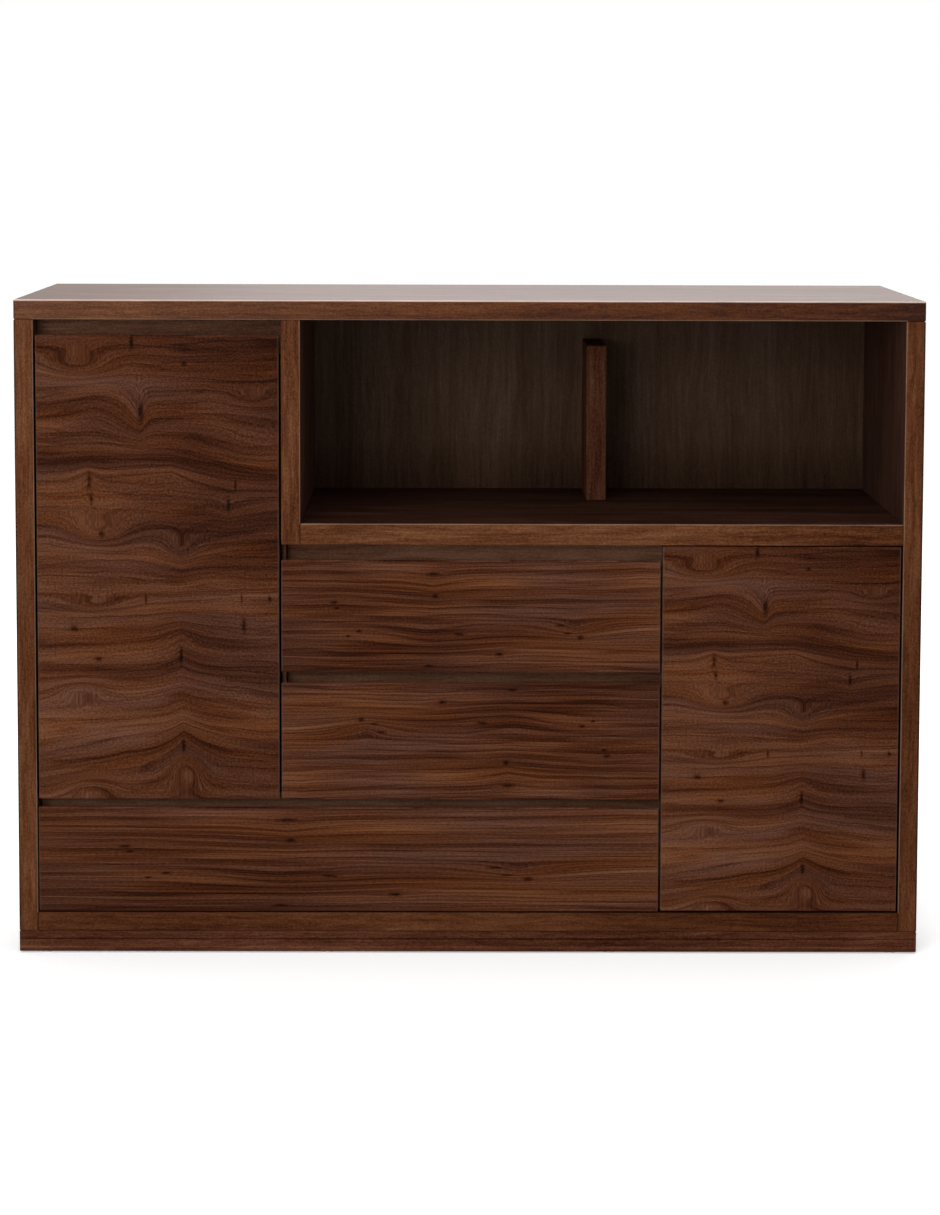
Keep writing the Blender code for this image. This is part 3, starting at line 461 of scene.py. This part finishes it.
def rim_highlight(x, y, z, box):
    """1 where a front's left and right edges get a painted highlight, in spots."""
    rim = (x - box[0].x).least(box[1].x - x)
    return (1.0 - rim / RIM_HIGHLIGHT_WIDTH).clamped() * noise(x * 90, y * 90, z * 40).clamped()


def figured_front(name, box, figure, lift, turned=False, run=1.0, fine=1.0, sway=1.0):
    """Veneer of one front.

    lift is added to its tone, run and fine are how quickly the grain changes along and across it,
    and sway is how much the grain lines waver.
    """
    material, tree = new_material(name)
    x, y, z = place_of(tree)
    left, top, broad, tall = figure.sheet
    u, v = sheet_place(x, y, z, box, figure.sheet, turned)
    height = grain_height(u, v, figure.crests, figure.swells, sway)
    wide = noise(u * 0.006, height * 0.034, 7.0)
    streak = noise(u * (0.009 * run), height * (0.30 * fine), 11.0, detail=3.0, roughness=0.6)
    fibre = noise(u * (0.030 * run), height * (1.10 * fine), 15.0, roughness=0.6)
    # Each growth ring starts at a sharp dark line and fades to light.
    fall = 1.0 - (height * (0.075 * fine) + wide * 2.0).fraction()
    parts = {
        "bands": band_tone(height, figure.sheet, figure.bands),
        "wide": wide,
        "streak": streak,
        "fibre": fibre,
        "mottle": noise(u * 0.42, height * 0.60, 19.0, detail=3.0, roughness=0.7),
        "ring": 0.75 - fall * fall * fall,
    }
    aside, below = (u - left) * (1 / broad) - 0.5, (v - top) * (1 / tall) - 0.5
    tone = aside * figure.lean[0] + below * figure.lean[1] + (0.5 + lift)
    tone = tone - dark_spots(u, v, height, figure.knots, run, fine)
    for part, weight in figure.weights.items():
        tone = tone + (parts[part] - 0.5) * weight
    hue = (noise(u * 0.006, height * 0.035, 23.0) - 0.5) * 3.2 + 0.5
    color = mix(hue.clamped(), ramp(tone, DULL_TONES), ramp(tone, WARM_TONES))
    # Painted highlight along each front's left and right edges, in spots.
    color = mix(rim_highlight(x, y, z, box), color, FRONT_RIM_HIGHLIGHT)
    coat(tree, color, 0.60 - streak * 0.12, fibre * 0.7 + streak * 0.3, FIGURED_RELIEF)
    return material


def plain_wood(name, along, contrast=0.68, lift=0.0, seed=0.0):
    """Straight-grained wood whose fibres run along one axis, with the tone as a number."""
    material, tree = new_material(name)
    place = [axis * GRAIN_UNITS for axis in place_of(tree)]
    run = place.pop("xyz".index(along))
    one, two = place
    drift = noise(run * 0.008, one * 0.010 + seed, two * 0.010) * 14.0
    one, two = one + drift, two + drift
    wide = noise(run * 0.004, one * 0.045 + seed, two * 0.045)
    streak = noise(run * 0.014, one * 0.26 + seed, two * 0.26, detail=3.0, roughness=0.6)
    fibre = noise(run * 0.07, one * 1.2 + seed, two * 1.2, roughness=0.6)
    pores = noise(run * 0.20, one * 1.9 + seed, two * 1.9, detail=1.0)
    mottle = noise(run * 0.42, one * 0.55 + seed, two * 0.55, detail=3.0, roughness=0.7)
    tone = pores.above(0.66) * (-0.09 * contrast) + (0.5 + lift)
    for part, weight in ((wide, 0.8), (streak, 0.9), (fibre, 0.6), (mottle, 0.9)):
        tone = tone + (part - 0.5) * (weight * contrast)
    return material, tree, tone, fibre * 0.7 + streak * 0.3, streak


def wood(name, along, stops, nodes, roughness=0.60, specular=0.02, shade=None, marks=None,
         other=None, **how):
    """Finishes the nodes in one wood.

    shade gives what is added to the tone at a place, marks changes the colour at the edges of a
    board of the frame, and other tells where the same solid is of another stuff, and whether that
    is metal.
    """
    material, tree, tone, relief, streak = plain_wood(name, along, **how)
    place = place_of(tree)
    if shade:
        tone = tone + shade(*place)
    color = ramp(tone, stops)
    if marks:
        color = marks(color, tone, streak, *place)
    metallic = 0.0
    if other:
        part, is_metal = other(*place)
        color = mix(part, color, BARE_STEEL if is_metal else NYLON)
        metallic = part if is_metal else 0.0
    coat(tree, color, roughness - streak * 0.12, relief, WOOD_RELIEF, specular, metallic)
    for node in nodes:
        paint(node, material)


def inside(x, y, z):
    """1 on the inner faces of the frame, behind its front edges."""
    level = z.above(BOTTOM_BOARD_TOP - PAST_FACE) * z.below(TOP_BOARD_UNDERSIDE + PAST_FACE)
    return x.size().below(INNER_X + PAST_FACE) * y.above(FRONT + PAST_EASED_EDGE) * level


def painted_falloff(start, drop, left=0.0):
    """Painted shade on a front edge, lifted by left and darker and darker beyond a place along it.
    """
    def shade(x, y, z):
        past = (x - start).most(0.0)
        return (past * past * -drop + left) * y.below(FRONT + PAST_FRONT)

    return shade


def frame_marks(highlit_edges=(), inner=0.0, rail_edges=False):
    """Marks of a board of the frame: painted shade on the inner faces, painted highlights on edges,
    painted shade at the ends and a painted highlight on the top edge.

    highlit_edges lists the front edges that get a painted highlight, each by its axis, its place on
    it and the height where it starts. inner lifts the tone of the painted shade on the inner faces,
    and rail_edges gives the edges behind the fronts the tone of the rails.
    """
    def marks(color, tone, streak, x, y, z):
        within = inside(x, y, z)
        # Painted shade on the inner faces behind the front edges.
        color = mix(within, color, ramp(tone + inner, SHADED_INSIDE_TONES))
        if rail_edges:
            edge = within * y.below(GRIP_RAIL_FACE + PAST_RAIL) * z.below(SHELF_UNDERSIDE)
            color = mix(edge, color, ramp(tone, RAIL_TONES))
        front = y.below(FRONT + PAST_FRONT)
        # Painted highlights along the listed front edges.
        for axis, level, base in highlit_edges:
            near = line(x if axis == "x" else z, level, EDGE_HIGHLIGHT_WIDTH)
            near = near * x.size().below(INNER_X + PAST_INNER_EDGE) * z.above(base)
            color = mix(near * front * (streak * 0.5 + 0.15), color, EDGE_HIGHLIGHT)
        # Painted shade along the left and right outer edges of the front.
        ends = (line(x, LEFT, LEFT_END_WIDTH) + line(x, RIGHT, RIGHT_END_WIDTH)).clamped()
        color = mix(ends * front * 0.80, color, END_SHADE)
        # Painted highlight along the front top edge.
        edge = line(z, TOP, TOP_EDGE_WIDTH) * y.below(FRONT + PAST_TOP_EDGE)
        return mix(edge * (streak * 0.7 + 0.35).clamped(), color, TOP_EDGE_HIGHLIGHT)

    return marks


def back_shade(x, y, z):
    """Painted shade on the back of the open bay: darker just above the shelf and a little lighter
    higher up.
    """
    height = z - SHELF_TOP
    facing = y.below(BACK_FACE + PAST_BACK) * height.above(-UNDER_SHELF_TOP)
    dark, light = (DARK_FOOT_HEIGHT - height).most(0.0) * -2.4, height.most(0.0) * 0.10
    return (dark + light) * facing


def plinth_shade(x, y, z):
    """A dark line near the top and a light one near the foot, along the grain."""
    dark = line(z, PLINTH_DARK_LINE, PLINTH_DARK_WIDTH) * -0.22
    light = line(z, PLINTH_LIGHT_LINE, PLINTH_LIGHT_WIDTH) * 0.14
    return dark + light


def glides(x, y, z):
    """The nylon glides under a plinth rail."""
    return z.below(FOOT + GLIDE_HEIGHT), False


def shelf_pins(shelf, left, right):
    """The steel pins past the ends of a loose shelf and under it."""
    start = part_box(left)[1].x + SHELF_END_PLAY
    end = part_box(right)[0].x - SHELF_END_PLAY
    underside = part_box(shelf)[1].z - SHELF_THICKNESS - SHELF_SKIN

    def pins(x, y, z):
        return x.below(start).most(x.above(end)).most(z.below(underside)), True

    return pins


def drawer_member(node, outward):
    """The steel runner member on the outer face of a drawer's side."""
    low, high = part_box(node)
    face = high.x - BOX_SIDE_THICKNESS if outward < 0 else low.x + BOX_SIDE_THICKNESS

    def member(x, y, z):
        return (x.below(face) if outward < 0 else x.above(face)), True

    return member


def metal(name, color, roughness, nodes, scratch=(9.0, 900.0, 900.0)):
    material, tree = new_material(name)
    x, y, z = place_of(tree)
    brushed = noise(x * scratch[0], y * scratch[1], z * scratch[2], detail=3.0)
    cloud = noise(x * 40.0, y * 40.0, z * 40.0)
    shade = ramp(cloud, ((0.3, tuple(c * 0.82 for c in color)), (0.7, color)))
    coat(tree, shade, brushed * 0.22 + roughness, brushed, METAL_RELIEF, 0.5, 1.0)
    for node in nodes:
        paint(node, material)


def plastic(name, color, nodes):
    material, tree = new_material(name)
    x, y, z = place_of(tree)
    grain = noise(x * 1500.0, y * 1500.0, z * 1500.0)
    shade = ramp(grain, ((0.3, tuple(c * 0.8 for c in color)), (0.7, color)))
    coat(tree, shade, grain * 0.2 + 0.38, grain, PLASTIC_RELIEF, 0.4)
    for node in nodes:
        paint(node, material)


def set_camera():
    data = bpy.data.cameras.new("camera")
    data.lens = CAMERA_LENS
    data.shift_y = CAMERA_SHIFT
    data.clip_end = 100.0
    camera = bpy.data.objects.new("camera", data)
    bpy.context.scene.collection.objects.link(camera)
    yaw, pitch = CAMERA_YAW, CAMERA_PITCH
    ahead = Vector((
        -math.sin(yaw) * math.cos(pitch), math.cos(yaw) * math.cos(pitch), -math.sin(pitch)))
    right = Vector((math.cos(yaw), math.sin(yaw), 0.0))
    up = right.cross(ahead)
    turn = math.cos(CAMERA_ROLL), math.sin(CAMERA_ROLL)
    right, up = right * turn[0] + up * turn[1], up * turn[0] - right * turn[1]
    axes = Matrix((right, up, -ahead)).transposed()
    camera.matrix_world = Matrix.Translation(CAMERA_PLACE) @ axes.to_4x4()
    bpy.context.scene.camera = camera


def seen(tree):
    """1 for rays that look at the backdrop straight, in a mirror or through glass."""
    path = tree.nodes.new("ShaderNodeLightPath")
    camera, glossy, through = (
        Wire(tree, path.outputs[kind])
        for kind in ("Is Camera Ray", "Is Glossy Ray", "Is Transmission Ray")
    )
    return camera.most(glossy).most(through)


def set_world(strength):
    """A white backdrop that lights the scene at its own strength."""
    world = bpy.data.worlds.new("studio")
    world.use_nodes = True
    bpy.context.scene.world = world
    tree = world.node_tree
    background = tree.nodes["Background"]
    background.inputs["Color"].default_value = (1.0, 1.0, 1.0, 1.0)
    plug(tree, background.inputs["Strength"], seen(tree) * (1.0 - strength) + strength)


def floor_lift(x, y, beside, before, far):
    """What is added to the floor's light beside and before the cabinet and far off."""
    away = ((x.size() - RIGHT).most(0.0) + (y.size() - BACK).most(0.0)) * 0.8
    near = ((y - FRONT) * 7.0).clamped() * (beside - before) + before
    return near + (far - near) * (away - 0.3).clamped()


def lay_floor(beside, before, far):
    """A pale floor. The lifts keep it white far off and leave the shadow near the cabinet."""
    mesh = bpy.data.meshes.new("floor")
    rear = FLOOR_HALF + FLOOR_BEHIND
    mesh.from_pydata(
        [(-FLOOR_HALF, -FLOOR_HALF, 0), (FLOOR_HALF, -FLOOR_HALF, 0),
         (FLOOR_HALF, rear, 0), (-FLOOR_HALF, rear, 0)],
        [], [(0, 1, 2, 3)])
    floor = bpy.data.objects.new("floor", mesh)
    bpy.context.scene.collection.objects.link(floor)
    material, tree = new_material("floor")
    x, y, _ = place_of(tree)
    shader = tree.nodes["Principled BSDF"]
    shader.inputs["Base Color"].default_value = (0.86, 0.86, 0.86, 1.0)
    shader.inputs["Roughness"].default_value = 0.9
    shader.inputs["Specular IOR Level"].default_value = 0.0
    shader.inputs["Emission Color"].default_value = (1.0, 1.0, 1.0, 1.0)
    glow = seen(tree) * floor_lift(x, y, beside, before, far)
    plug(tree, shader.inputs["Emission Strength"], glow)
    mesh.materials.append(material)


def hang_lamp(name, place, aim, size, power):
    data = bpy.data.lights.new(name, "AREA")
    data.shape = "RECTANGLE"
    data.size, data.size_y = size
    data.energy = power
    lamp = bpy.data.objects.new(name, data)
    lamp.location = place
    lamp.rotation_euler = (Vector(aim) - Vector(place)).to_track_quat("-Z", "Y").to_euler()
    bpy.context.scene.collection.objects.link(lamp)


def hang_lamps():
    hang_lamp("key", (-1.7, -4.4, 1.5), aim=(0, 0, 0.45), size=(2.2, 1.6), power=76)
    hang_lamp("top", (-0.6, -2.4, 3.4), aim=(0, 0, 0.60), size=(2.6, 1.8), power=47)
    hang_lamp("fill", (2.8, -2.6, 1.8), aim=(0, 0, 0.40), size=(2.0, 2.0), power=17)
    hang_lamp("rear", (0.5, 3.4, 2.8), aim=(0, 0, 0.50), size=(2.6, 1.8), power=43)
    hang_lamp("overhead", (0.0, 0.2, 2.9), aim=(0, 0.2, 0), size=(3.2, 1.6), power=38)


def add_screw(bm, seat, out):
    """A pan head with a crossed recess, its flat side on the seat."""
    across = out.orthogonal().normalized()
    beside = out.cross(across)

    def spot(a, b, up):
        return bm.verts.new(seat + across * a + beside * b + out * up)

    def ring(reach, up):
        turns = [math.tau * n / SCREW_SIDES for n in range(SCREW_SIDES)]
        return [spot(reach * math.cos(t), reach * math.sin(t), up) for t in turns]

    def cross(reach, half, up):
        arm = [(reach, -half), (reach, half), (half, half)]
        return [
            spot(*(Matrix.Rotation(math.pi / 2 * quarter, 2) @ Vector(point)), up)
            for quarter in range(4) for point in arm
        ]

    def wall(lower, upper):
        for n in range(len(lower)):
            m = (n + 1) % len(lower)
            bm.faces.new((lower[n], lower[m], upper[m], upper[n]))

    rings = [ring(SCREW_RADIUS * wide, SCREW_HEIGHT * level) for wide, level in SCREW_HEAD]
    for lower, upper in zip(rings, rings[1:]):
        wall(lower, upper)
    bm.faces.new(rings[0][::-1])
    mouth, floor = (
        cross(SCREW_RADIUS * reach, SCREW_RADIUS * half, SCREW_HEIGHT * level)
        for reach, half, level in (RECESS_MOUTH, RECESS_FLOOR)
    )
    wall(mouth[::-1], floor[::-1])
    bm.faces.new(floor)
    rim = [
        bm.edges.get((loop[n - 1], loop[n]))
        for loop in (rings[-1], mouth) for n in range(len(loop))
    ]
    bmesh.ops.triangle_fill(bm, edges=rim, use_beauty=True, normal=out)


def screws(name, body, seats):
    """One piece of screws that rides on a body. A seat is a point and the way the head faces."""
    bm = bmesh.new()
    for point, out in seats:
        add_screw(bm, Vector(point), Vector(out))
    bmesh.ops.recalc_face_normals(bm, faces=bm.faces)
    mesh = bpy.data.meshes.new(name)
    bm.to_mesh(mesh)
    bm.free()
    piece = bpy.data.objects.new(name, mesh)
    bpy.context.scene.collection.objects.link(piece)
    mesh.materials.append(bpy.data.materials["screw_zinc"])
    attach(piece, body)


def finish_doors():
    for node, lift in (("left_door", 0.0), ("right_door", 0.02)):
        paint(node, figured_front(f"{node}_walnut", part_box(node), DOORS, lift))


def finish_drawer_fronts():
    for drawer, lift in zip(DRAWERS, (0.015, 0.020, 0.035)):
        node = f"{drawer}_front"
        turned = drawer == "middle_drawer"
        paint(node, figured_front(
            f"{node}_walnut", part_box(node), DRAWER_FRONTS, lift, turned, run=0.45, fine=1.5,
            sway=0.35))


def finish_top_board():
    underside = ("z", TOP_BOARD_UNDERSIDE, FOOT)
    # Painted shade on the front edge, darker towards the right.
    wood("frame_walnut_top", "x", TOP_TONES, ("top_panel",), roughness=0.42, specular=0.090,
         shade=painted_falloff(0.05, 0.80), marks=frame_marks((underside,)), seed=5.0)


def finish_bottom_board():
    # Painted shade on the front edge, darker towards the right.
    wood("bottom_panel_walnut", "x", FRAME_TONES, ("bottom_panel",), shade=painted_falloff(0.2, 0.30),
         marks=frame_marks(), lift=-0.065, contrast=0.55)


def finish_open_shelf():
    upper = ("z", SHELF_TOP, FOOT)
    # Painted light and shade on the front edge, darker towards the right, and more painted shade on
    # the inner faces.
    wood("open_shelf_walnut", "x", FRAME_TONES, ("open_shelf",), shade=painted_falloff(0.12, 1.20, 0.06),
         marks=frame_marks((upper,), inner=-0.15), lift=0.03)


def finish_sides():
    left = ("x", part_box("left_side_panel")[1].x, BOTTOM_BOARD_TOP)
    right = ("x", INNER_X, BOTTOM_BOARD_TOP)
    wood("frame_walnut_side", "z", FRAME_TONES, ("left_side_panel", "right_side_panel"),
         marks=frame_marks((left, right)), contrast=0.60, seed=31.0)


def finish_partitions():
    beside_bay = ("x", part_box("left_partition")[1].x, SHELF_TOP)
    wood("frame_walnut_partition", "z", FRAME_TONES, ("left_partition", "right_partition"),
         marks=frame_marks((beside_bay,), rail_edges=True), lift=-0.06, seed=31.0)


def finish_divider():
    wood("divider_walnut", "z", DIVIDER_TONES, ("compartment_divider",), seed=37.0)


def finish_back():
    # The back of the open bay gets painted shade above the shelf.
    wood("inner_walnut_upright", "z", INNER_TONES, ("back_panel",), shade=back_shade,
         contrast=0.33, seed=53.0)


def finish_rails():
    # Each rail's lift is painted light and shade, set to how much light reaches it in its recess.
    for rail, lift in (
        ("door_grip_rail", -0.10), ("top_drawer_grip_rail", -0.035),
        ("middle_drawer_grip_rail", -0.05), ("drawer_deck", -0.015),
    ):
        wood(f"{rail}_walnut", "x", RAIL_TONES, (rail,), contrast=0.4, lift=lift, seed=83.0)


def finish_plinth():
    wood("plinth_walnut", "x", WALNUT, ("plinth_front", "plinth_back"), shade=plinth_shade,
         other=glides, lift=0.03, seed=97.0)
    wood("plinth_walnut_inner", "y", WALNUT, ("plinth_left", "plinth_right", "plinth_brace"),
         seed=97.0)


def finish_loose_shelves():
    for shelf, left, right in (
        ("left_shelf", "left_side_panel", "left_partition"),
        ("right_shelf", "right_partition", "right_side_panel"),
    ):
        wood(f"{shelf}_walnut", "x", INNER_TONES, (shelf,), other=shelf_pins(shelf, left, right),
             contrast=0.6, seed=61.0)


def finish_drawer_boxes():
    for drawer in DRAWERS:
        wood(f"{drawer}_birch_cross", "x", BIRCH, (f"{drawer}_back",), contrast=0.55, seed=11.0)
        wood(f"{drawer}_birch_base", "y", BIRCH, (f"{drawer}_bottom",), contrast=0.55, seed=17.0)
        for side, outward in (("left", -1), ("right", 1)):
            node = f"{drawer}_{side}"
            wood(f"{node}_birch", "y", BIRCH, (node,), other=drawer_member(node, outward),
                 contrast=0.55, seed=23.0)


def finish_fittings():
    steel = [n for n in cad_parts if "runner" in n or "_hinge_" in n or n == "latch_strike"]
    metal("plated_steel", (0.62, 0.62, 0.60), 0.24, steel)
    plastic("black_plastic", (0.022, 0.022, 0.023), ("latch_housing", "latch_plunger"))
    metal("screw_zinc", (0.50, 0.50, 0.49), 0.30, (), scratch=(300.0, 300.0, 300.0))


def cup_seats(cup):
    """Seats of the two screws that hold a hinge cup to the door's back."""
    low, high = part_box(cup)
    middle = (low + high) / 2
    return [
        ((middle.x, high.y, middle.z + way * CUP_SCREW_SPREAD), (0, 1, 0)) for way in (-1, 1)
    ]


def plate_seats(arm, wall, toward):
    """Seats of the screws through a mounting plate and of those that hold the arm on it."""
    low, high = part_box(arm)
    level = (low.z + high.z) / 2
    plate_face, arm_face = wall + toward * PLATE_FACE, wall + toward * ARM_FACE
    points = [
        (plate_face, high.y - PLATE_SCREW_PLACE, level + way * PLATE_SCREW_SPREAD)
        for way in (-1, 1)
    ]
    points += [(arm_face, high.y - from_end, level) for from_end in ARM_SCREW_PLACES]
    return [(point, (toward, 0, 0)) for point in points]


def add_hinge_screws():
    on_cabinet = []
    for door, wall, toward in (
        ("left_door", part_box("left_side_panel")[1].x, 1),
        ("right_door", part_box("right_side_panel")[0].x, -1),
    ):
        on_door = []
        for hinge in (f"{door}_lower_hinge", f"{door}_upper_hinge"):
            on_door += cup_seats(f"{hinge}_cup")
            on_cabinet += plate_seats(f"{hinge}_arm", wall, toward)
        screws(f"{door}_hinge_screws", door, on_door)
    screws("hinge_plate_screws", "cabinet", on_cabinet)


def member_seats(runner, outward):
    """Seats of the three screws that hold a runner's drawer member to the drawer's side."""
    low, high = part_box(runner)
    middle = (low + high) / 2
    face = low.x + RUNNER_WEB_FACE if outward < 0 else high.x - RUNNER_WEB_FACE
    places = (low.y + RUNNER_SCREW_INSET, middle.y, high.y - RUNNER_SCREW_INSET)
    return [((face, y, middle.z), (outward, 0, 0)) for y in places]


def add_runner_screws():
    for drawer in DRAWERS:
        seats = member_seats(f"{drawer}_left_cabinet_runner", -1)
        seats += member_seats(f"{drawer}_right_cabinet_runner", 1)
        screws(f"{drawer}_runner_screws", drawer, seats)


set_camera()
set_world(strength=0.33)
lay_floor(beside=0.50, before=0.35, far=0.74)
hang_lamps()

finish_doors()
finish_drawer_fronts()
finish_top_board()
finish_bottom_board()
finish_open_shelf()
finish_sides()
finish_partitions()
finish_divider()
finish_back()
finish_rails()
finish_plinth()
finish_loose_shelves()
finish_drawer_boxes()
finish_fittings()
add_hinge_screws()
add_runner_screws()

view = bpy.context.scene.view_settings
view.view_transform = "Standard"
